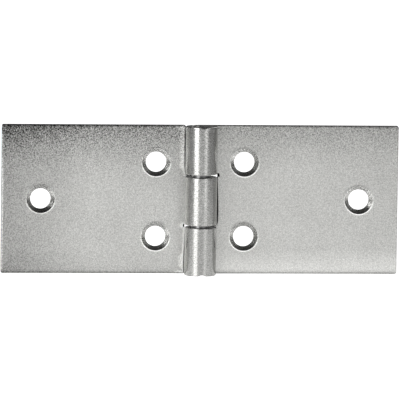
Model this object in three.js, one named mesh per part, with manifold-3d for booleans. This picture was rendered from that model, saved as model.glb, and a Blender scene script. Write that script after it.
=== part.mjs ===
// A rolled back-flap hinge of zinc-plated sheet steel, opened flat: two leaves on one pin.
// Millimetres. The origin is the middle of the pin's axis. +Z runs up the pin, +X along the frame
// leaf, and +Y to the flat side that is screwed down, so the countersinks and the barrel face -Y.

import * as THREE from 'three';
import { mergeVertices } from 'three/addons/utils/BufferGeometryUtils.js';
import Module from 'manifold-3d';

// Driving dimensions
const OPEN_WIDTH = 80; // across both leaves, opened flat
const HEIGHT = 30; // of both leaves and the barrel, along the pin
const SHEET = 1.2; // thickness of the sheet that both leaves are made of
const BARREL_RADIUS = 3.2; // outside of the rolled knuckles
const CURL_END_ANGLE = 33; // degrees that the sheet's free end turns past the barrel's side

const PIN_RADIUS = 1.92;
const PIN_RECESS = 0.35; // from the barrel's ends to the pin's ends
const PIN_CHAMFER = 0.3;

const KNUCKLE_LENGTH = 9.65; // of each of the three knuckles
const UPPER_GAP = 0.55; // between the upper and the middle knuckle; the rest of the play is below

const FRAME_NOTCH_EDGE = 3.5; // from the pin's axis to the leaf's edge beside the middle knuckle
const DOOR_NOTCH_EDGE = 3.0; // the same beside the end knuckles, where the leaf comes closer
const WEB_RADIUS = 0.9; // of the rounded corner above a knuckle's root
const RELIEF_RADIUS = 0.38; // of the punch mark in the corner below a knuckle's root
const RELIEF_DEPTH = 0.9; // of the mark from the sheet's front; it doesn't go through
const RELIEF_RISE = 0.05; // how far the mark reaches past the notch's own corner

const HOLE_RADIUS = 2.05;
const COUNTERSINK_RADIUS = 2.85; // at the sheet's face; the sides stand at 45 degrees
const INNER_HOLES_X = 8.9;
const INNER_HOLES_Z = 7.5; // above and below the middle of the leaf
const OUTER_HOLE_X = 32.1;

const STAKE_RADIUS = 0.9; // of the round-nosed punch that dents the barrel's end rims over the pin
const STAKE_DEPTH = 0.45; // of the dent, along the barrel

// How finely the round surfaces are divided
const ARC_STEPS = 36; // in half of a curl's arc
const HOLE_SIDES = 48;
const PIN_SIDES = 64;
const PUNCH_SIDES = 24;
const CUT = 1; // how far a cutting solid reaches past the material, in mm

// Worked out from the driving dimensions
const BORE_RADIUS = BARREL_RADIUS - SHEET;
const LEAF_REACH = OPEN_WIDTH / 2;
const HALF_HEIGHT = HEIGHT / 2;
const BACK_Y = BARREL_RADIUS; // the flat side that is screwed down
const FRONT_Y = BACK_Y - SHEET; // the countersunk side of the sheet
const UPPER_RIM = HALF_HEIGHT - KNUCKLE_LENGTH; // the upper knuckle's lower end
const LOWER_RIM = -UPPER_RIM; // the lower knuckle's upper end
const MIDDLE_TOP = UPPER_RIM - UPPER_GAP;
const MIDDLE_BOTTOM = MIDDLE_TOP - KNUCKLE_LENGTH;

const wasm = await Module();
wasm.setup();

// Turns a closed three.js geometry into a solid that can be joined and cut.
function solid(geometry) {
  geometry.deleteAttribute('normal');
  geometry.deleteAttribute('uv');
  const merged = mergeVertices(geometry);
  const corners = merged.index.array;
  const kept = [];
  for (let i = 0; i < corners.length; i += 3) {
    const [a, b, c] = corners.slice(i, i + 3);
    if (a !== b && b !== c && c !== a) {
      kept.push(a, b, c);
    }
  }
  const mesh = new wasm.Mesh({
    numProp: 3,
    vertProperties: new Float32Array(merged.attributes.position.array),
    triVerts: new Uint32Array(kept),
  });
  return new wasm.Manifold(mesh);
}

// Turns a finished solid back into a three.js geometry.
function geometryOf(body) {
  const mesh = body.getMesh();
  const geometry = new THREE.BufferGeometry();
  geometry.setAttribute('position', new THREE.BufferAttribute(new Float32Array(mesh.vertProperties), 3));
  geometry.setIndex(new THREE.BufferAttribute(new Uint32Array(mesh.triVerts), 1));
  geometry.computeVertexNormals();
  return geometry;
}

// The mirror image of a geometry in X, with its faces still pointing out.
function mirrored(geometry) {
  geometry.scale(-1, 1, 1);
  geometry.index.array.reverse();
  geometry.computeVertexNormals();
  return geometry;
}

// A solid with its outline in the XZ plane, running through the material from one Y to another.
function throughSheet(outline, fromY, toY) {
  const geometry = new THREE.ExtrudeGeometry(outline, {
    depth: toY - fromY,
    bevelEnabled: false,
    curveSegments: PUNCH_SIDES,
  });
  geometry.rotateX(Math.PI / 2);
  geometry.translate(0, toY, 0);
  return solid(geometry);
}

// The sheet seen along the pin: flat from its outer edge, then rolled round the bore.
function rolledSheet() {
  const start = Math.PI / 2;
  const end = 2 * Math.PI + THREE.MathUtils.degToRad(CURL_END_ANGLE);
  const outline = new THREE.Shape();
  outline.moveTo(LEAF_REACH, BACK_Y);
  outline.lineTo(0, BACK_Y);
  outline.absarc(0, 0, BARREL_RADIUS, start, end, false);
  outline.absarc(0, 0, BORE_RADIUS, end, start, true);
  outline.lineTo(LEAF_REACH, FRONT_Y);
  outline.closePath();
  const geometry = new THREE.ExtrudeGeometry(outline, {
    depth: HEIGHT,
    bevelEnabled: false,
    curveSegments: ARC_STEPS,
  });
  geometry.translate(0, 0, -HALF_HEIGHT);
  return solid(geometry);
}

// A box between two opposite corners.
function boxBetween([fromX, fromY, fromZ], [toX, toY, toZ]) {
  const geometry = new THREE.BoxGeometry(toX - fromX, toY - fromY, toZ - fromZ);
  geometry.translate((fromX + toX) / 2, (fromY + toY) / 2, (fromZ + toZ) / 2);
  return solid(geometry);
}

// The space cut out of a leaf for the other leaf's knuckle, from one Z to another. The flat sheet
// may reach in beside the knuckle, behind its widest place, so the curl has a wider cut of its own.
function notch(edge, fromZ, toZ) {
  const far = BARREL_RADIUS + CUT;
  const flatCut = boxBetween([-far, 0, fromZ], [edge, far, toZ]);
  const curlCut = boxBetween([-far, -far, fromZ], [far, FRONT_Y - SHEET / 4, toZ]);
  return flatCut.add(curlCut);
}

// The web that rounds a notch's corner above a knuckle's root, at height z.
function cornerWeb(edge, z) {
  const overlap = SHEET / 4;
  const centreX = edge - WEB_RADIUS;
  const outline = new THREE.Shape();
  outline.moveTo(centreX, z - overlap);
  outline.lineTo(edge + overlap, z - overlap);
  outline.lineTo(edge + overlap, z + WEB_RADIUS);
  outline.absarc(centreX, z + WEB_RADIUS, WEB_RADIUS, 0, -Math.PI / 2, true);
  outline.closePath();
  return throughSheet(outline, FRONT_Y, BACK_Y);
}

// The round punch mark in a notch's corner below a knuckle's root, at height z.
function cornerRelief(edge, z) {
  const outline = new THREE.Shape();
  outline.absarc(edge, z + RELIEF_RISE - RELIEF_RADIUS, RELIEF_RADIUS, 0, 2 * Math.PI, false);
  return throughSheet(outline, FRONT_Y - CUT / 2, FRONT_Y + RELIEF_DEPTH);
}

// A countersunk screw hole, with its axis along Y.
function screwHole(x, z) {
  const profile = [
    new THREE.Vector2(0, FRONT_Y - CUT),
    new THREE.Vector2(COUNTERSINK_RADIUS + CUT, FRONT_Y - CUT),
    new THREE.Vector2(HOLE_RADIUS, FRONT_Y + COUNTERSINK_RADIUS - HOLE_RADIUS),
    new THREE.Vector2(HOLE_RADIUS, BACK_Y + CUT),
    new THREE.Vector2(0, BACK_Y + CUT),
  ];
  const geometry = new THREE.LatheGeometry(profile, HOLE_SIDES);
  geometry.translate(x, 0, z);
  return solid(geometry);
}

// The dent that a round-nosed punch leaves in the barrel's rim; end is 1 at the top and -1 below.
function stakeDent(end) {
  const geometry = new THREE.SphereGeometry(STAKE_RADIUS, PUNCH_SIDES, PUNCH_SIDES / 2);
  const middle = (BARREL_RADIUS + BORE_RADIUS) / 2;
  geometry.translate(0, -middle, end * (HALF_HEIGHT + STAKE_RADIUS - STAKE_DEPTH));
  return solid(geometry);
}

// A whole leaf, reaching along +X. Its notches run between pairs of heights, and webHeight and
// reliefHeight are the upper end of one knuckle's root and the lower end of one.
function leaf({ notchEdge, notches, webHeight, reliefHeight }) {
  let body = rolledSheet();
  notches.forEach(([fromZ, toZ]) => {
    body = body.subtract(notch(notchEdge, fromZ, toZ));
  });
  body = body.add(cornerWeb(notchEdge, webHeight));
  const cuts = [
    cornerRelief(notchEdge, reliefHeight),
    screwHole(INNER_HOLES_X, INNER_HOLES_Z),
    screwHole(INNER_HOLES_X, -INNER_HOLES_Z),
    screwHole(OUTER_HOLE_X, 0),
  ];
  cuts.forEach((cut) => {
    body = body.subtract(cut);
  });
  return body;
}

// The leaf with the upper and the lower knuckle. Its end rims are staked over the pin.
function frameLeaf() {
  const body = leaf({
    notchEdge: FRAME_NOTCH_EDGE,
    notches: [[LOWER_RIM, UPPER_RIM]],
    webHeight: LOWER_RIM,
    reliefHeight: UPPER_RIM,
  });
  return geometryOf(body.subtract(stakeDent(1)).subtract(stakeDent(-1)));
}

// The leaf with the middle knuckle, reaching along -X.
function doorLeaf() {
  const body = leaf({
    notchEdge: DOOR_NOTCH_EDGE,
    notches: [
      [MIDDLE_TOP, HALF_HEIGHT + CUT],
      [-HALF_HEIGHT - CUT, MIDDLE_BOTTOM],
    ],
    webHeight: MIDDLE_TOP,
    reliefHeight: MIDDLE_BOTTOM,
  });
  return mirrored(geometryOf(body));
}

// The pin, with chamfered ends, along Z.
function hingePin() {
  const half = HALF_HEIGHT - PIN_RECESS;
  const profile = [
    new THREE.Vector2(0, -half),
    new THREE.Vector2(PIN_RADIUS - PIN_CHAMFER, -half),
    new THREE.Vector2(PIN_RADIUS, -half + PIN_CHAMFER),
    new THREE.Vector2(PIN_RADIUS, half - PIN_CHAMFER),
    new THREE.Vector2(PIN_RADIUS - PIN_CHAMFER, half),
    new THREE.Vector2(0, half),
  ];
  const geometry = new THREE.LatheGeometry(profile, PIN_SIDES);
  geometry.rotateX(Math.PI / 2);
  return geometryOf(solid(geometry));
}

// One named piece with its own material.
function piece(name, geometry, material) {
  const mesh = new THREE.Mesh(geometry, new THREE.MeshStandardMaterial(material));
  mesh.name = name;
  return mesh;
}

const hinge = new THREE.Group();
hinge.add(
  piece('frame_leaf', frameLeaf(), { color: 0xb9b9b6, roughness: 0.42, metalness: 1 }),
  piece('door_leaf', doorLeaf(), { color: 0xb4b4b1, roughness: 0.46, metalness: 1 }),
  piece('hinge_pin', hingePin(), { color: 0xa9a9a8, roughness: 0.3, metalness: 1 }),
);

export default hinge;
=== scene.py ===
import math

import bpy
import numpy as np
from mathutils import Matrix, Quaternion, Vector
from mathutils.geometry import delaunay_2d_cdt


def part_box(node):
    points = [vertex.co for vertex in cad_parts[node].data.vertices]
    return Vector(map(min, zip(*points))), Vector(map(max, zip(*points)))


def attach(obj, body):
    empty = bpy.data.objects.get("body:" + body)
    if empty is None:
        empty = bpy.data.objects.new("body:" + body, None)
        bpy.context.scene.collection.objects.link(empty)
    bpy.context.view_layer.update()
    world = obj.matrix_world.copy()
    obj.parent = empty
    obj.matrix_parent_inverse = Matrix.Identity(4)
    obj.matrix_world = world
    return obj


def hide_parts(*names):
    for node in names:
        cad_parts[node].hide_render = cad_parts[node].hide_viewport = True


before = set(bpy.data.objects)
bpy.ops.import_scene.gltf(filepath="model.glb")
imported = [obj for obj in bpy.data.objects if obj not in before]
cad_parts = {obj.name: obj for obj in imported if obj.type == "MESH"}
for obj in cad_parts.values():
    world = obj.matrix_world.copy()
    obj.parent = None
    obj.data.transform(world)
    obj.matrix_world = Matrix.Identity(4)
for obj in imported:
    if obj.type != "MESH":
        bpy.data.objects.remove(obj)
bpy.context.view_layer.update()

# A rolled back-flap hinge, opened flat. Each leaf is made the way the real one is: a flat blank
# with rounded edges and countersunk holes, whose tabs are then rolled round the pin.
# Lengths are in metres. +Z runs up the pin, +X along the frame leaf, and -Y is the countersunk side.

MM = 0.001

# Sizes that the frame gives
_, leaf_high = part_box("frame_leaf")
_, pin_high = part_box("hinge_pin")
BARREL_RADIUS = leaf_high[1]
LEAF_REACH = leaf_high[0]
HALF_HEIGHT = leaf_high[2]
PIN_RADIUS = pin_high[0]
PIN_HALF_LENGTH = pin_high[2]

# The rolled sheet
SHEET = 1.2 * MM
CURL_TURN = math.radians(303)  # from the tangent line to the sheet's free end
ROLL_RADIUS = BARREL_RADIUS - SHEET / 2  # of the sheet's middle layer, which keeps its length
TAB_LENGTH = CURL_TURN * ROLL_RADIUS

# The knuckles and the corners of the notches between them
KNUCKLE_LENGTH = 9.65 * MM
UPPER_GAP = 0.55 * MM
UPPER_RIM = HALF_HEIGHT - KNUCKLE_LENGTH
LOWER_RIM = -UPPER_RIM
MIDDLE_TOP = UPPER_RIM - UPPER_GAP
MIDDLE_BOTTOM = MIDDLE_TOP - KNUCKLE_LENGTH
FRAME_NOTCH_EDGE = 3.5 * MM
DOOR_NOTCH_EDGE = 3.0 * MM
WEB_RADIUS = 0.9 * MM
MARK_SIZE = 0.38 * MM  # of the punch mark in a notch's corner
MARK_DEPTH = 0.9 * MM
MARK_TOP_ROUND = 0.9 * MARK_SIZE
MARK_FOOT_ROUND = 0.7 * MARK_SIZE
MARK_LEDGE = 0.04 * MM  # the height over which the mark's wall gives way to the plain wall behind it

# Screw holes
HOLE_RADIUS = 2.05 * MM
COUNTERSINK_RADIUS = 2.85 * MM
LIP_HEIGHT = 0.03 * MM  # of the burr that the cutter raises round a countersink
LIP_WIDTH = 0.25 * MM
HOLE_BACK_ROUND = 0.07 * MM
LAND_ROUND = 0.1 * MM  # between a hole's straight land and its countersink
LIP_ROUND = 0.04 * MM
LIP_FOOT_ROUND = 0.3 * MM
HOLE_PLACES = [(8.9 * MM, 7.5 * MM), (8.9 * MM, -7.5 * MM), (32.1 * MM, 0.0)]

# Edges. Punching draws the front edges over into a soft roll and leaves the back ones crisp.
FRONT_ROLL = 0.3 * MM  # its width at the corners
ROLL_GROWTH = 0.7  # how much wider it gets along the straight stretches
ROLL_RUN = 1.5 * MM  # the distance from a corner over which it widens
ROLL_SLOPE = 0.42  # its depth, as a share of its width
BACK_ROUND = 0.1 * MM
OUTER_CORNER = 0.4 * MM
TAB_CORNER = 0.3 * MM
SMALL_CORNER = 0.16 * MM
CRISP_ROLL = 0.07 * MM

# The dents that a punch leaves in the barrel's end rims
STAKE_RADIUS = 0.95 * MM
STAKE_DEPTH = 0.45 * MM
STAKE_REACH = 2.2 * MM  # how far down the barrel the metal gives
TOP_STAKE_X = 0.25 * MM
BOTTOM_STAKE_X = 0.1 * MM

# Where the finish changes
CURL_FADE = 1.2 * MM  # on each side of the tangent line
NOTCH_WALLS = (1 * MM, 5 * MM)  # the stretch of the leaf that holds the walls of its notches
FRONT_SKIN = 0.02 * MM  # how far the front's finish reaches down a wall
END_MARGIN = 0.1 * MM
RIDGE_DEPTH = 0.06 * MM  # of the part of the roll beside the door leaf's notches that gets a painted highlight

# How finely the sheet is divided
FLAT_STEP = 0.9 * MM
CURL_STEP = 0.2 * MM
DENT_STEP = 0.12 * MM
ARC_STEP = math.radians(11)
BACK_STEPS = 5
ROLL_STEPS = 9
HOLE_SIDES = 96
PIN_SIDES = 128
PIN_STEPS = 8
PIN_RINGS = 40
TINY = 1e-7

FACE, EDGE, HOLE = 0, 1, 2  # what a vertex of the blank belongs to


# --- Outlines in the flat blank: s runs out along the leaf, z up the pin ---

def arc_through(corner, entry, leaving, radius):
    """Points and directions round one corner of an outline, from one straight stretch to the next."""
    turn = math.atan2(
        entry[0] * leaving[1] - entry[1] * leaving[0],
        entry[0] * leaving[0] + entry[1] * leaving[1],
    )
    side = math.copysign(1.0, turn)
    tangent = radius * math.tan(abs(turn) / 2)
    start = corner - entry * tangent
    centre = start + side * radius * np.array([-entry[1], entry[0]])
    steps = max(3, math.ceil(abs(turn) / ARC_STEP))
    points, directions = [], []
    for a in np.linspace(0.0, turn, steps + 1):
        c, s = math.cos(a), math.sin(a)
        direction = np.array([entry[0] * c - entry[1] * s, entry[0] * s + entry[1] * c])
        points.append(centre + side * radius * np.array([direction[1], -direction[0]]))
        directions.append(direction)
    return points, directions


def outline(corners, mark_edge):
    """
    A closed loop with the material on its left, from corners of (s, z, radius, front roll), and
    the same loop behind the punch mark, where the wall is straight at s = mark_edge.
    """
    places = [np.array(c[:2]) for c in corners]
    count = len(corners)
    points, directions, rolls = [], [], []
    for i in range(count):
        here, before, after = places[i], places[i - 1], places[(i + 1) % count]
        entry = (here - before) / np.linalg.norm(here - before)
        leaving = (after - here) / np.linalg.norm(after - here)
        arc, ways = arc_through(here, entry, leaving, corners[i][2])
        if points:
            add_straight(points, directions, rolls, arc[0], entry, corners[i][3])
        points += arc
        directions += ways
        rolls += [corners[i][3]] * len(arc)
    add_straight(points, directions, rolls, points[0], directions[0], rolls[0])
    points, directions = np.array(points), np.array(directions)
    outward = np.column_stack([directions[:, 1], -directions[:, 0]])
    tops = [c[1] for c in corners if mark_edge < c[0] < mark_edge + 2 * MARK_SIZE]
    beyond = (points[:, 0] > mark_edge + TINY) & (points[:, 0] < mark_edge + 2 * MARK_SIZE)
    beyond &= (points[:, 1] <= max(tops) + TINY) & (points[:, 1] > min(tops) - SMALL_CORNER)
    run = np.flatnonzero(beyond)
    back, back_outward = points.copy(), outward.copy()
    top, bottom = max(tops), points[run[-1] + 1][1]
    share = (np.arange(len(run)) + 1) / (len(run) + 1)
    back[run] = np.column_stack([np.full(len(run), mark_edge), top + (bottom - top) * share])
    back_outward[run] = (-1, 0)
    return points, outward, np.array(rolls), back, back_outward


def add_straight(points, directions, rolls, target, direction, roll):
    """Divides the straight stretch from the last point to target, without the ends."""
    last, last_roll = points[-1], rolls[-1]
    step = CURL_STEP if min(last[0], target[0]) < DOOR_NOTCH_EDGE else FLAT_STEP
    pieces = max(1, math.ceil(np.linalg.norm(target - last) / step))
    for k in range(1, pieces):
        share = k / pieces
        points.append(last + (target - last) * share)
        directions.append(direction)
        from_end = min(share, 1 - share) * np.linalg.norm(target - last)
        growth = 1 + ROLL_GROWTH * min(1.0, from_end / ROLL_RUN)
        rolls.append((last_roll + (roll - last_roll) * share) * growth)


def hole_outline(place):
    """A hole's loop, clockwise, so that the material is on its left."""
    turn = -np.linspace(0, 2 * math.pi, HOLE_SIDES, endpoint=False)
    around = np.column_stack([np.cos(turn), np.sin(turn)])
    return np.array(place) + HOLE_RADIUS * around, -around


# --- Sections: rows of (inset from the outline, depth from the back face) ---

def edge_section(rolls):
    """Across a cut edge: a crisp back corner, the wall, and a front corner rolled over by rolls."""
    rows, flat = [], np.zeros_like(rolls)
    for a in np.linspace(0, math.pi / 2, BACK_STEPS):
        rows.append((flat + BACK_ROUND * (1 - math.sin(a)), flat + BACK_ROUND * (1 - math.cos(a))))
    mark_floor = SHEET - MARK_DEPTH
    rows.append((flat, flat + mark_floor - MARK_LEDGE / 2))
    rows.append((flat, flat + mark_floor + MARK_LEDGE / 2))
    for a in np.linspace(0, math.pi / 2, ROLL_STEPS):
        rows.append((rolls * (1 - math.cos(a)), SHEET - ROLL_SLOPE * rolls * (1 - math.sin(a))))
    return rows


def hole_section():
    """Across a hole's wall: a crisp back corner, the land, the 45 degree countersink and its lip."""
    flat = COUNTERSINK_RADIUS - HOLE_RADIUS
    lip = flat + LIP_HEIGHT
    back, land = (0.0, 0.0, HOLE_BACK_ROUND), (0.0, SHEET - flat, LAND_ROUND)
    top, foot = (lip, SHEET + LIP_HEIGHT, LIP_ROUND), (lip + LIP_WIDTH, SHEET, LIP_FOOT_ROUND)
    start, end = (flat, 0.0, 0.0), (lip + 2 * LIP_WIDTH, SHEET, 0.0)  # these only give directions
    corners = [start, back, land, top, foot, end]
    places = [np.array(c[:2]) for c in corners]
    rows = []
    for i in range(1, len(corners) - 1):
        entry = places[i] - places[i - 1]
        leaving = places[i + 1] - places[i]
        arc, _ = arc_through(
            places[i], entry / np.linalg.norm(entry), leaving / np.linalg.norm(leaving), corners[i][2]
        )
        rows += [tuple(p) for p in arc]
        if corners[i] == land:
            # One more row where the countersink ends, so that its finish doesn't run on to the lip
            rows.append((flat - LIP_HEIGHT, SHEET - LIP_HEIGHT))
    return rows


# --- From the flat blank to the rolled leaf ---

def rolled(flat):
    """Bends points (s, z, depth) of the blank: the part past s = 0 goes round the pin."""
    s, z, depth = flat.T
    angle = math.pi / 2 + np.maximum(-s, 0) / ROLL_RADIUS
    radius = BARREL_RADIUS - depth
    x = np.where(s >= 0, s, radius * np.cos(angle))
    y = np.where(s >= 0, radius, radius * np.sin(angle))
    return np.column_stack([x, y, z])


def inside(points, loop):
    """Which points lie inside a closed loop."""
    a, b = loop, np.roll(loop, -1, axis=0)
    px, py = points[:, :1], points[:, 1:]
    crosses = (a[:, 1] > py) != (b[:, 1] > py)
    rise = np.where(b[:, 1] == a[:, 1], 1.0, b[:, 1] - a[:, 1])
    meet = a[:, 0] + (py - a[:, 1]) * (b[:, 0] - a[:, 0]) / rise
    return (crosses & (px < meet)).sum(axis=1) % 2 == 1


def clearance(points, loop):
    """Each point's distance to a closed loop."""
    a, b = loop, np.roll(loop, -1, axis=0)
    along = b - a
    share = ((points[:, None] - a) * along).sum(-1) / (along**2).sum(-1)
    nearest = a + np.clip(share, 0, 1)[..., None] * along
    return np.linalg.norm(points[:, None] - nearest, axis=-1).min(axis=1)


def filling_points(loops, dents):
    """Points that divide the sheet's faces between the loops, closer together on the tabs."""
    low, high = loops[0].min(axis=0), loops[0].max(axis=0)
    flat_s = np.arange(FLAT_STEP, high[0], FLAT_STEP)
    curl_s = np.arange(low[0], FLAT_STEP, CURL_STEP)
    sets = []
    for s_values, z_step in ((flat_s, FLAT_STEP), (curl_s, FLAT_STEP / 2)):
        z_values = np.arange(low[1] + z_step / 2, high[1], z_step)
        sets.append(np.stack(np.meshgrid(s_values, z_values), -1).reshape(-1, 2))
    for s, z in dents:
        around = np.arange(-STAKE_RADIUS, STAKE_RADIUS, DENT_STEP)
        patch = np.stack(np.meshgrid(around, around), -1).reshape(-1, 2)
        sets.append(patch + (s, z))
        near = np.abs(sets[1] - (s, z)).max(axis=1) < STAKE_RADIUS
        sets[1] = sets[1][~near]
    points = np.concatenate(sets)
    kept = inside(points, loops[0])
    for hole in loops[1:]:
        kept &= ~inside(points, hole)
    points = points[kept]
    for loop in loops:
        gap = np.where(points[:, 0] < FLAT_STEP, CURL_STEP / 2, FLAT_STEP / 4)
        points = points[clearance(points, loop) > gap]
    return points


def filled(loops, dents):
    """Triangles over the sheet's face between an outer loop and its holes."""
    extra = filling_points(loops, dents)
    points = np.concatenate([*loops, extra])
    edges, first = [], 0
    for loop in loops:
        count = len(loop)
        edges += [(first + i, first + (i + 1) % count) for i in range(count)]
        first += count
    found = delaunay_2d_cdt([Vector(p / MM) for p in points], edges, [], 1, 1e-6)
    corners, faces, origin = found[0], found[2], found[3]
    source = [o[0] for o in origin]
    middles = np.array([np.mean([corners[i] for i in f], axis=0) for f in faces]) * MM
    kept = np.ones(len(faces), bool)
    for hole in loops[1:]:
        kept &= ~inside(middles, hole)
    triangles = np.array([[source[i] for i in f] for f in faces])[kept]
    a, b, c = (points[triangles[:, k]] for k in range(3))
    area = (b[:, 0] - a[:, 0]) * (c[:, 1] - a[:, 1]) - (b[:, 1] - a[:, 1]) * (c[:, 0] - a[:, 0])
    triangles[area < 0] = triangles[area < 0][:, ::-1]
    return extra, triangles


def blank(corners, mark_edge, dents):
    """The flat blank as (s, z, depth) vertices, its faces, and what each vertex belongs to."""
    loops = [outline(corners, mark_edge)]
    loops += [(*hole_outline(place), None, None, None) for place in HOLE_PLACES]
    verts, kinds, faces = [], [], []
    back_rings, front_rings = [], []
    total = 0
    for points, outward, rolls, back_points, back_outward in loops:
        rows = hole_section() if rolls is None else edge_section(rolls)
        count = len(points)
        first = total
        for inset, depth in rows:
            inset, depth = np.broadcast_to(inset, count), np.broadcast_to(depth, count)
            behind = rolls is not None and depth.max() < SHEET - MARK_DEPTH
            ring, away = (back_points, back_outward) if behind else (points, outward)
            verts.append(np.column_stack([ring - away * inset[:, None], depth]))
            kinds.append(np.full(count, HOLE if rolls is None else EDGE))
            total += count
        for r in range(len(rows) - 1):
            low, high = first + r * count, first + (r + 1) * count
            for i in range(count):
                j = (i + 1) % count
                faces.append((low + i, low + j, high + j, high + i))
        back_rings.append((first, verts[-len(rows)][:, :2]))
        front_rings.append((total - count, verts[-1][:, :2]))
    for rings, depth, flip in ((back_rings, 0.0, True), (front_rings, SHEET, False)):
        extra, triangles = filled([ring for _, ring in rings], dents)
        lookup = np.concatenate([start + np.arange(len(ring)) for start, ring in rings])
        lookup = np.concatenate([lookup, total + np.arange(len(extra))])
        verts.append(np.column_stack([extra, np.full(len(extra), depth)]))
        kinds.append(np.full(len(extra), FACE))
        total += len(extra)
        named = lookup[triangles]
        faces += [tuple(t[::-1]) if flip else tuple(t) for t in named]
    return np.concatenate(verts), faces, np.concatenate(kinds)


def staked(points, dents_at):
    """Pushes the barrel's end rims in where the punch struck them, at (x, y, end)."""
    points = points.copy()
    for x, y, end in dents_at:
        across = np.hypot(points[:, 0] - x, points[:, 1] - y)
        push = np.clip(1 - (across / STAKE_RADIUS) ** 2, 0, 1) ** 1.5
        below = HALF_HEIGHT - end * points[:, 2]
        give = np.clip(1 - below / STAKE_REACH, 0, 1)
        points[:, 2] -= end * STAKE_DEPTH * push * give
    return points


def smooth_normals(points, faces):
    """Vertex normals weighted by area, so that the wide flat faces stay flat up to their edges."""
    normals = np.zeros_like(points)
    for size in {len(f) for f in faces}:
        group = np.array([f for f in faces if len(f) == size])
        a, b, c = points[group[:, 0]], points[group[:, 1]], points[group[:, -1]]
        opposite = points[group[:, 2]]
        area = np.cross(b - a, c - a) + (np.cross(c - opposite, b - opposite) if size == 4 else 0)
        for k in range(size):
            np.add.at(normals, group[:, k], area)
    return normals / np.linalg.norm(normals, axis=1)[:, None]


def new_piece(name, points, faces, marks):
    """A smooth-shaded mesh object; marks are named values on its vertices, for its material."""
    mesh = bpy.data.meshes.new(name)
    mesh.from_pydata(points.tolist(), [], [tuple(map(int, f)) for f in faces])
    mesh.polygons.foreach_set("use_smooth", [True] * len(mesh.polygons))
    for mark, values in marks.items():
        layer = mesh.attributes.new(mark, "FLOAT", "POINT")
        layer.data.foreach_set("value", np.asarray(values, np.float32))
    mesh.normals_split_custom_set_from_vertices(smooth_normals(points, faces).tolist())
    mesh.validate()
    piece = bpy.data.objects.new(name, mesh)
    bpy.context.scene.collection.objects.link(piece)
    return piece


def leaf_piece(name, corners, mark_edge, mirror, dents_at):
    """A finished leaf. The dents also say where the blank needs closer points."""
    middle_s = -ROLL_RADIUS * math.pi
    dents = [(middle_s, end * HALF_HEIGHT) for _, _, end in dents_at]
    flat, faces, kinds = blank(corners, mark_edge, dents)
    points = staked(rolled(flat), dents_at)
    if mirror:
        points = points * (-1, 1, 1)
        faces = [f[::-1] for f in faces]
    marks = finish_marks(flat, kinds)
    marks["painted_ridge_highlight"] = marks["painted_ridge_highlight"] & mirror
    return new_piece(name, points, faces, marks)


def finish_marks(flat, kinds):
    """
    Where a leaf's finish changes: its curl, the walls of its notches that get a painted shade, the
    ridge along them that gets a painted highlight, its cut countersinks, their raised lips, and how high
    in its hole a vertex lies.
    """
    s, z, depth = flat.T
    notch_wall = (kinds == EDGE) & (s > NOTCH_WALLS[0]) & (s < NOTCH_WALLS[1])
    below_skin = depth < SHEET - FRONT_SKIN
    rise = np.zeros(len(flat))
    for hole_s, hole_z in HOLE_PLACES:
        near = np.hypot(s - hole_s, z - hole_z) < 2 * HOLE_RADIUS
        rise[near] = (z[near] - hole_z) / COUNTERSINK_RADIUS
    return {
        "curl": np.clip((CURL_FADE - s) / (2 * CURL_FADE), 0, 1),
        "painted_wall_shade": notch_wall & below_skin & (np.abs(z) < HALF_HEIGHT - END_MARGIN),
        "painted_ridge_highlight": notch_wall & (depth > SHEET - RIDGE_DEPTH) & (np.abs(z) > MIDDLE_TOP),
        "cut": (kinds == HOLE) & below_skin,
        "lip": (rise != 0) & (depth > SHEET + LIP_HEIGHT / 2),
        "rise": rise,
    }


def frame_leaf():
    """The leaf with the upper and the lower knuckle, and the staked rims."""
    edge, mark = FRAME_NOTCH_EDGE, FRAME_NOTCH_EDGE + MARK_SIZE
    corners = [
        (LEAF_REACH, -HALF_HEIGHT, OUTER_CORNER, FRONT_ROLL),
        (LEAF_REACH, HALF_HEIGHT, OUTER_CORNER, FRONT_ROLL),
        (-TAB_LENGTH, HALF_HEIGHT, TAB_CORNER, CRISP_ROLL),
        (-TAB_LENGTH, UPPER_RIM, TAB_CORNER, CRISP_ROLL),
        (mark, UPPER_RIM, MARK_TOP_ROUND, CRISP_ROLL),
        (mark, UPPER_RIM - 2 * MARK_SIZE, MARK_FOOT_ROUND, CRISP_ROLL),
        (edge, UPPER_RIM - 2 * MARK_SIZE, SMALL_CORNER, CRISP_ROLL),
        (edge, LOWER_RIM, WEB_RADIUS, FRONT_ROLL),
        (-TAB_LENGTH, LOWER_RIM, TAB_CORNER, CRISP_ROLL),
        (-TAB_LENGTH, -HALF_HEIGHT, TAB_CORNER, CRISP_ROLL),
    ]
    dents_at = [(TOP_STAKE_X, -ROLL_RADIUS, 1), (BOTTOM_STAKE_X, -ROLL_RADIUS, -1)]
    return leaf_piece("frame_leaf_finished", corners, edge, False, dents_at)


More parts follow.
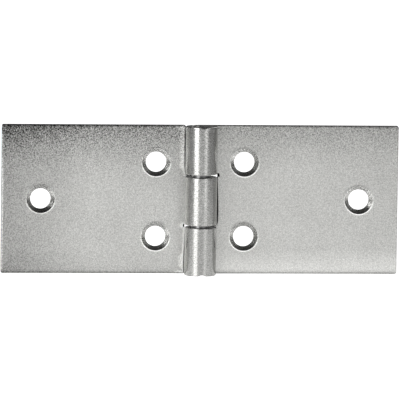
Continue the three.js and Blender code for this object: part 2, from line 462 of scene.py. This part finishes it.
def door_leaf():
    """The leaf with the middle knuckle."""
    edge, mark = DOOR_NOTCH_EDGE, DOOR_NOTCH_EDGE + MARK_SIZE
    corners = [
        (LEAF_REACH, -HALF_HEIGHT, OUTER_CORNER, FRONT_ROLL),
        (LEAF_REACH, HALF_HEIGHT, OUTER_CORNER, FRONT_ROLL),
        (edge, HALF_HEIGHT, OUTER_CORNER, FRONT_ROLL),
        (edge, MIDDLE_TOP, WEB_RADIUS, FRONT_ROLL),
        (-TAB_LENGTH, MIDDLE_TOP, TAB_CORNER, CRISP_ROLL),
        (-TAB_LENGTH, MIDDLE_BOTTOM, TAB_CORNER, CRISP_ROLL),
        (mark, MIDDLE_BOTTOM, MARK_TOP_ROUND, CRISP_ROLL),
        (mark, MIDDLE_BOTTOM - 2 * MARK_SIZE, MARK_FOOT_ROUND, CRISP_ROLL),
        (edge, MIDDLE_BOTTOM - 2 * MARK_SIZE, SMALL_CORNER, CRISP_ROLL),
        (edge, -HALF_HEIGHT, OUTER_CORNER, FRONT_ROLL),
    ]
    return leaf_piece("door_leaf_finished", corners, edge, True, [])


def hinge_pin():
    """The pin, turned from a half profile with soft chamfers and faintly domed ends."""
    chamfer, dome = 0.3 * MM, 0.05 * MM
    half = []
    for share in np.linspace(0, 1, PIN_STEPS):
        radius = (PIN_RADIUS - chamfer) * share
        half.append((radius, PIN_HALF_LENGTH - dome * share**2))
    for a in np.linspace(0, math.pi / 2, PIN_STEPS)[1:]:
        radius = PIN_RADIUS - chamfer * (1 - math.sin(a))
        half.append((radius, PIN_HALF_LENGTH - dome - chamfer * (1 - math.cos(a))))
    length = PIN_HALF_LENGTH - dome - chamfer
    body = [(PIN_RADIUS, z) for z in np.linspace(length, -length, PIN_RINGS)[1:-1]]
    profile = half + body + [(r, -z) for r, z in reversed(half)]
    turn = np.linspace(0, 2 * math.pi, PIN_SIDES, endpoint=False)
    rows = profile[1:-1]
    rings = [np.column_stack([r * np.cos(turn), r * np.sin(turn), np.full(PIN_SIDES, z)]) for r, z in rows]
    points = np.concatenate([*rings, [(0, 0, profile[0][1])], [(0, 0, profile[-1][1])]])
    top, bottom = len(points) - 2, len(points) - 1
    last = (len(rows) - 1) * PIN_SIDES
    faces = []
    for i in range(PIN_SIDES):
        j = (i + 1) % PIN_SIDES
        faces.append((top, i, j))
        faces.append((bottom, last + j, last + i))
        for r in range(len(rows) - 1):
            high, low = r * PIN_SIDES, (r + 1) * PIN_SIDES
            faces.append((high + i, low + i, low + j, high + j))
    return new_piece("hinge_pin_finished", points, faces, {})


# --- Materials ---

# Noise scales, in features per metre
FINE_GRAIN = 8500
BLOTCHES = 3600
ROLLING_LINES = 4200
CLOUDS = 110
DRAWING_RINGS = 2400
MOTTLING = 500
NOISE_MIDDLE = (0.3, 0.7)  # where most of a noise's values lie

# The plating's tones, as shares of full reflectance, and how they vary
FLAT_TONE = 0.535
# the curl's tone is lower than the flat sheet's, a painted shade on the barrel
CURL_TONE = 0.4
BLUE_SHARE = 0.97
FINE_MIDDLE = (0.25, 0.75)  # the fine grain's own middle, which is wider
BASE_GRAIN = 0.3
CURL_GRAIN = 0.9  # the grain left on the curl
BLOTCH_GRAIN = 0.6
LINE_DEPTH = 0.05
CLOUD_DEPTH = 0.04
SPECK_LEVEL = 0.72  # specks lie where the fine grain is above this
SPECK_DEPTH = 0.25
# the ridge beside the door leaf's notches is painted this much brighter, a painted highlight
PAINTED_RIDGE_HIGHLIGHT = 1.9
# the notches' walls are painted this dark and not metallic, a painted shade in the slots beside the barrel
PAINTED_WALL_SHADE = 0.1

# The painted shade on the flat sheet towards the top and the free edge, the painted band at the bottom
# (painted light on the frame leaf, painted shade on the door leaf) and the painted shade down the barrel:
# where each begins and where it is full
TOP_PAINTED_SHADE = (-2 * MM, HALF_HEIGHT)
TOP_PAINTED_SHADE_POWER = 3.0  # it gathers near the top
SIDE_PAINTED_SHADE = (22 * MM, LEAF_REACH)
BOTTOM_PAINTED_LIGHT_AND_SHADE = (-10 * MM, -14 * MM)
FOOT_PAINTED_SHADE = (12 * MM, -3 * MM)  # down the barrel
FOOT_PAINTED_SHADE_DEPTH = 0.16

# By how high in its hole a place is, from and to: the tones of a countersink, a painted shade on its lower
# side and a painted light on its upper side, and of its lip, a painted highlight on its lower side
COUNTERSINK_PAINTED_SHADING = (-0.8, 0.4, 0.25, 1.5)
LIP_PAINTED_HIGHLIGHT = (-1.0, 1.0, 2.2, 0.8)

# The plating's roughness, and what its bumps are made of
ROUGHNESS = (0.37, 0.45)
CURL_POLISH = 0.19
CUT_POLISH = 0.17
BUMP_DISTANCE = 0.02 * MM
BUMP_STRENGTH = 0.8
BASE_BUMPS = 0.5  # of the fine grain, besides its sand
CURL_BUMPS = (0.4, 0.16)  # the fine and the blotchy bumps left on the curl
LINE_BUMPS = 0.8

# The pin's
# kept dark, a painted shade for where the pin shows in the gaps between the knuckles
PIN_TONES = (0.18, 0.26)
PIN_ROUGHNESS = (0.22, 0.36)
PIN_BUMP_STRENGTH = 0.25


class Nodes:
    """A short way to build a node tree."""

    def __init__(self, tree):
        self.tree = tree

    def add(self, kind, inputs=None, **settings):
        node = self.tree.nodes.new(kind)
        for key, value in settings.items():
            setattr(node, key, value)
        for key, value in (inputs or {}).items():
            self.feed(node, key, value)
        return node

    def feed(self, node, key, value):
        if isinstance(value, bpy.types.NodeSocket):
            self.tree.links.new(value, node.inputs[key])
        else:
            node.inputs[key].default_value = value

    def math(self, operation, a, b=0.0):
        return self.add("ShaderNodeMath", {0: a, 1: b}, operation=operation).outputs[0]

    def chain(self, operation, first, *others):
        for other in others:
            first = self.math(operation, first, other)
        return first

    def mark(self, name):
        return self.add("ShaderNodeAttribute", attribute_name=name).outputs["Fac"]

    def noise(self, place, scale, detail, stretch=(1, 1, 1)):
        mapped = self.add("ShaderNodeMapping", {"Vector": place, "Scale": stretch})
        inputs = {"Vector": mapped.outputs[0], "Scale": scale, "Detail": detail}
        return self.add("ShaderNodeTexNoise", inputs).outputs["Fac"]

    def spread(self, value, low, high, out_low, out_high):
        inputs = {"Value": value, 1: low, 2: high, 3: out_low, 4: out_high}
        return self.add("ShaderNodeMapRange", inputs).outputs[0]

    def swing(self, noise, out_low, out_high):
        return self.spread(noise, *NOISE_MIDDLE, out_low, out_high)

    def by_mark(self, mark, without, within):
        return self.spread(mark, 0.0, 1.0, without, within)

    def bumps(self, height, strength):
        inputs = {"Height": height, "Strength": strength, "Distance": BUMP_DISTANCE}
        return self.add("ShaderNodeBump", inputs).outputs[0]


def new_material(name):
    material = bpy.data.materials.new(name)
    material.use_nodes = True
    tree = material.node_tree
    tree.nodes.clear()
    nodes = Nodes(tree)
    shader = nodes.add("ShaderNodeBsdfPrincipled", {"Metallic": 1.0})
    output = nodes.add("ShaderNodeOutputMaterial")
    tree.links.new(shader.outputs[0], output.inputs["Surface"])
    return material, nodes, shader


def painted_shading(nodes, place, curl, top, side, bottom):
    """
    Painted shade: how much darker the plating is painted towards the top, and how much darker in
    all: towards the top, the free edge and the bottom on the flat sheet, where a negative amount at
    the bottom is a painted light, and down the barrel on the curl.
    """
    parts = nodes.add("ShaderNodeSeparateXYZ", {0: place})
    across, up = nodes.math("ABSOLUTE", parts.outputs[0]), parts.outputs[2]
    top_share = nodes.math("POWER", nodes.spread(up, *TOP_PAINTED_SHADE, 0.0, 1.0), TOP_PAINTED_SHADE_POWER)
    side_share = nodes.spread(across, *SIDE_PAINTED_SHADE, 0.0, 1.0)
    bottom_share = nodes.spread(up, *BOTTOM_PAINTED_LIGHT_AND_SHADE, 0.0, 1.0)
    foot_share = nodes.spread(up, *FOOT_PAINTED_SHADE, 0.0, 1.0)

    top_painted_shade = nodes.math("MULTIPLY", top_share, top)
    side_painted_shade = nodes.math("MULTIPLY", side_share, side)
    bottom_painted_light_and_shade = nodes.math("MULTIPLY", bottom_share, bottom)
    flat_painted_shading = nodes.chain("ADD", top_painted_shade, side_painted_shade, bottom_painted_light_and_shade)
    flat_painted_shading = nodes.math("MULTIPLY", flat_painted_shading, nodes.math("SUBTRACT", 1.0, curl))
    curl_painted_shade = nodes.chain("MULTIPLY", curl, foot_share, FOOT_PAINTED_SHADE_DEPTH)
    return top_painted_shade, nodes.math("ADD", flat_painted_shading, curl_painted_shade)


def zinc_grain(nodes, fine, blotch, curl, top_painted_shade, sand):
    """The grain, stronger where the painted shade darkens the sheet towards the top and a little weaker on
    the curl.
    """
    grain = nodes.spread(fine, *FINE_MIDDLE, -1.0, 1.0)
    grain = nodes.math("ADD", grain, nodes.swing(blotch, -BLOTCH_GRAIN, BLOTCH_GRAIN))
    reach = nodes.math("MULTIPLY", nodes.math("ADD", top_painted_shade, BASE_GRAIN), sand)
    reach = nodes.math("MULTIPLY", reach, nodes.by_mark(curl, 1.0, CURL_GRAIN))
    return nodes.math("MULTIPLY", grain, reach)


def marked_tone(nodes, tone, marks):
    """What a leaf's marks do to the tone of its plating: the curl's lower tone, a painted shade; painted
    shade and light in the countersinks, a painted highlight on their lips and on the ridge, and a painted
    shade on the notches' walls.
    """
    return nodes.chain(
        "MULTIPLY",
        tone,
        nodes.by_mark(marks["curl"], FLAT_TONE, CURL_TONE),
        nodes.by_mark(marks["cut"], 1.0, nodes.spread(marks["rise"], *COUNTERSINK_PAINTED_SHADING)),
        nodes.by_mark(marks["lip"], 1.0, nodes.spread(marks["rise"], *LIP_PAINTED_HIGHLIGHT)),
        nodes.by_mark(marks["painted_ridge_highlight"], 1.0, PAINTED_RIDGE_HIGHLIGHT),
        nodes.by_mark(marks["painted_wall_shade"], 1.0, PAINTED_WALL_SHADE),
    )


def zinc_roughness(nodes, blotch, marks):
    """Satin, and smoother on the curl and in the countersinks."""
    curl_polish = nodes.math("MULTIPLY", marks["curl"], CURL_POLISH)
    cut_polish = nodes.math("MULTIPLY", marks["cut"], CUT_POLISH)
    return nodes.chain("SUBTRACT", nodes.swing(blotch, *ROUGHNESS), curl_polish, cut_polish)


def zinc_height(nodes, fine, line, blotch, curl, sand, lines):
    """The height of the plating's bumps, lower on the curl, and of its rolling lines."""
    return nodes.chain(
        "ADD",
        nodes.math("MULTIPLY", fine, nodes.by_mark(curl, BASE_BUMPS + sand, CURL_BUMPS[0])),
        nodes.math("MULTIPLY", line, LINE_BUMPS * lines),
        nodes.math("MULTIPLY", blotch, nodes.by_mark(curl, 1.0, CURL_BUMPS[1])),
    )


def zinc_material(name, sand, lines, top, side, bottom):
    """
    Satin zinc plating on rolled sheet. sand and lines are how strong the grain and the rolling
    lines are. top, side and bottom are how much painted shade darkens the flat sheet towards the
    top, the free edge and the bottom, where a negative bottom is a painted light; the grain follows
    the top shade only. The curl is smoother and painted darker, more so downwards, a painted shade.
    The countersinks get a painted shade on their lower sides and a painted light on their upper
    sides, and their lips a painted highlight on their lower sides; the ridge beside the door leaf's
    notches gets a painted highlight, and the notches' walls a painted shade.
    """
    material, nodes, shader = new_material(name)
    shader.inputs["Specular IOR Level"].default_value = 0.0
    place = nodes.add("ShaderNodeTexCoord").outputs["Object"]
    marks = {mark: nodes.mark(mark) for mark in ("curl", "painted_wall_shade", "painted_ridge_highlight", "cut", "lip", "rise")}
    fine = nodes.noise(place, FINE_GRAIN, detail=1.0)
    blotch = nodes.noise(place, BLOTCHES, detail=2.0)
    line = nodes.noise(place, ROLLING_LINES, detail=3.0, stretch=(1, 1, 0.04))
    cloud = nodes.noise(place, CLOUDS, detail=3.0)
    speck = nodes.math("GREATER_THAN", fine, SPECK_LEVEL)

    top_painted_shade, painted_shading_total = painted_shading(nodes, place, marks["curl"], top, side, bottom)
    tone = nodes.chain(
        "ADD",
        zinc_grain(nodes, fine, blotch, marks["curl"], top_painted_shade, sand),
        nodes.swing(line, -LINE_DEPTH * lines, LINE_DEPTH * lines),
        nodes.swing(cloud, 1 - CLOUD_DEPTH, 1 + CLOUD_DEPTH),
    )
    tone = nodes.chain("SUBTRACT", tone, painted_shading_total, nodes.math("MULTIPLY", speck, SPECK_DEPTH))
    tone = marked_tone(nodes, tone, marks)
    blue = nodes.math("MULTIPLY", tone, BLUE_SHARE)
    colour = nodes.add("ShaderNodeCombineColor", {0: tone, 1: tone, 2: blue})
    height = zinc_height(nodes, fine, line, blotch, marks["curl"], sand, lines)
    nodes.feed(shader, "Base Color", colour.outputs[0])
    # the painted wall shade is also not metallic, so that it stays dark
    nodes.feed(shader, "Metallic", nodes.math("SUBTRACT", 1.0, marks["painted_wall_shade"]))
    nodes.feed(shader, "Roughness", zinc_roughness(nodes, blotch, marks))
    nodes.feed(shader, "Normal", nodes.bumps(height, BUMP_STRENGTH))
    return material


def pin_material():
    """Drawn wire, zinc plated: rings round the pin and a little mottling, on a tone kept dark as a painted
    shade in the gaps between the knuckles.
    """
    material, nodes, shader = new_material("pin_zinc")
    place = nodes.add("ShaderNodeTexCoord").outputs["Object"]
    rings = nodes.noise(place, DRAWING_RINGS, detail=2.0, stretch=(0.06, 0.06, 1))
    mottle = nodes.noise(place, MOTTLING, detail=3.0)
    tone = nodes.swing(mottle, *PIN_TONES)
    colour = nodes.add("ShaderNodeCombineColor", {0: tone, 1: tone, 2: tone})
    nodes.feed(shader, "Base Color", colour.outputs[0])
    nodes.feed(shader, "Roughness", nodes.swing(rings, *PIN_ROUGHNESS))
    nodes.feed(shader, "Normal", nodes.bumps(rings, PIN_BUMP_STRENGTH))
    return material


# --- Stage, light and camera ---

CARD_LIFT = 0.1 * MM


def direction_of(azimuth, elevation):
    """The unit vector towards the place seen at an azimuth round the hinge and an elevation."""
    a, e = math.radians(azimuth), math.radians(elevation)
    return Vector((math.sin(a) * math.cos(e), -math.cos(a) * math.cos(e), math.sin(e)))


def soft_light(name, place, aim, size, radiance):
    """A soft box at a place, facing another place, that reflections see but the camera doesn't."""
    light = bpy.data.lights.new(name, "AREA")
    light.shape = "RECTANGLE"
    light.size, light.size_y = size
    light.energy = radiance * math.pi * size[0] * size[1]
    box = bpy.data.objects.new(name, light)
    box.location = place
    box.rotation_mode = "QUATERNION"
    box.rotation_quaternion = (Vector(place) - Vector(aim)).to_track_quat("Z", "Y")
    box.visible_camera = False
    bpy.context.scene.collection.objects.link(box)


def box_light(name, azimuth, elevation, distance, size, radiance):
    """A soft box in a direction from the hinge, facing it."""
    soft_light(name, direction_of(azimuth, elevation) * distance, (0, 0, 0), size, radiance)


def card_light(name, x, y, size, radiance):
    """A bright card just above the floor, facing up."""
    place = Vector((x, y, CARD_LIFT - HALF_HEIGHT))
    soft_light(name, place, place + Vector((0, 0, 1)), size, radiance)


def light_studio():
    """Soft boxes beside the camera and behind the hinge, and cards for the reflections from below."""
    box_light("left_box", azimuth=-40, elevation=3, distance=0.3, size=(0.15, 0.2), radiance=4.3)
    box_light("right_box", azimuth=30, elevation=3, distance=0.3, size=(0.1, 0.2), radiance=1.35)
    card_light("floor_card", x=0.012, y=-0.149, size=(0.2, 0.3), radiance=0.82)
    box_light("left_glint", azimuth=-63, elevation=22, distance=0.3, size=(0.1, 0.1), radiance=8.0)
    box_light("right_glint", azimuth=52, elevation=20, distance=0.3, size=(0.06, 0.06), radiance=6.0)
    box_light("back_box", azimuth=130, elevation=30, distance=0.6, size=(0.4, 0.4), radiance=2.5)
    card_light("back_card", x=-0.03, y=0.159, size=(0.4, 0.3), radiance=0.7)


def make_floor():
    """A wide pale floor with a soft gloss, white to the camera, that the hinge stands on."""
    sides, radius = 96, 15.0
    turn = np.linspace(0, 2 * math.pi, sides, endpoint=False)
    rim = [(radius * math.cos(t), radius * math.sin(t), -HALF_HEIGHT) for t in turn]
    mesh = bpy.data.meshes.new("floor")
    mesh.from_pydata(rim, [], [tuple(range(sides))])
    floor = bpy.data.objects.new("floor", mesh)
    bpy.context.scene.collection.objects.link(floor)
    material = bpy.data.materials.new("floor_white")
    material.use_nodes = True
    tree = material.node_tree
    tree.nodes.clear()
    nodes = Nodes(tree)
    seen = nodes.add("ShaderNodeLightPath").outputs["Is Camera Ray"]
    board = nodes.add("ShaderNodeBsdfPrincipled", {"Base Color": (0.85, 0.85, 0.85, 1), "Roughness": 0.2})
    glow = nodes.add("ShaderNodeEmission", {"Strength": nodes.spread(seen, 0.0, 1.0, 0.15, 1.0)})
    both = nodes.add("ShaderNodeAddShader", {0: board.outputs[0], 1: glow.outputs[0]})
    nodes.add("ShaderNodeOutputMaterial", {"Surface": both.outputs[0]})
    mesh.materials.append(material)


def make_world():
    """White behind the hinge; for light and reflections, a soft grey room."""
    world = bpy.data.worlds.new("studio")
    world.use_nodes = True
    bpy.context.scene.world = world
    tree = world.node_tree
    tree.nodes.clear()
    nodes = Nodes(tree)
    seen = nodes.add("ShaderNodeLightPath").outputs["Is Camera Ray"]
    room = nodes.add("ShaderNodeBackground", {"Color": (1, 1, 1, 1), "Strength": 0.12})
    white = nodes.add("ShaderNodeBackground", {"Color": (1, 1, 1, 1), "Strength": 1.2})
    mix = nodes.add("ShaderNodeMixShader", {0: seen, 1: room.outputs[0], 2: white.outputs[0]})
    nodes.add("ShaderNodeOutputWorld", {"Surface": mix.outputs[0]})


def make_camera():
    """A long lens, a little to the hinge's left and a little above it, turned slightly clockwise."""
    azimuth, elevation, roll, distance = -5.2, 6.4, 0.8, 1.3
    aim = Vector((-0.19 * MM, 0.0, 0.12 * MM))
    data = bpy.data.cameras.new("camera")
    data.sensor_width = 36.0
    data.lens = 583.0
    data.clip_start, data.clip_end = 0.05, 60.0
    camera = bpy.data.objects.new("camera", data)
    bpy.context.scene.collection.objects.link(camera)
    back = direction_of(azimuth, elevation)
    camera.location = aim + back * distance
    camera.rotation_mode = "QUATERNION"
    camera.rotation_quaternion = back.to_track_quat("Z", "Y") @ Quaternion((0, 0, 1), math.radians(roll))
    bpy.context.scene.camera = camera


def build():
    # top, side and bottom set each leaf's painted shade; the frame leaf's negative bottom is a painted
    # light
    sheet_frame = zinc_material("zinc_frame_leaf", sand=1.1, lines=0.4, top=0.3, side=0.1, bottom=-0.28)
    sheet_door = zinc_material("zinc_door_leaf", sand=1.25, lines=0.3, top=0.52, side=0.36, bottom=0.07)
    pieces = [
        (frame_leaf(), "frame_side", "frame_leaf", "zinc_plated_sheet", sheet_frame),
        (door_leaf(), "door_side", "door_leaf", "zinc_plated_sheet", sheet_door),
        (hinge_pin(), "frame_side", "hinge_pin", "pin_steel", pin_material()),
    ]
    for piece, body, node, slot, material in pieces:
        piece.data.materials.append(material)
        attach(piece, body)
        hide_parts(node)


bpy.context.scene.view_settings.view_transform = "Standard"
make_camera()
build()
make_floor()
make_world()
light_studio()
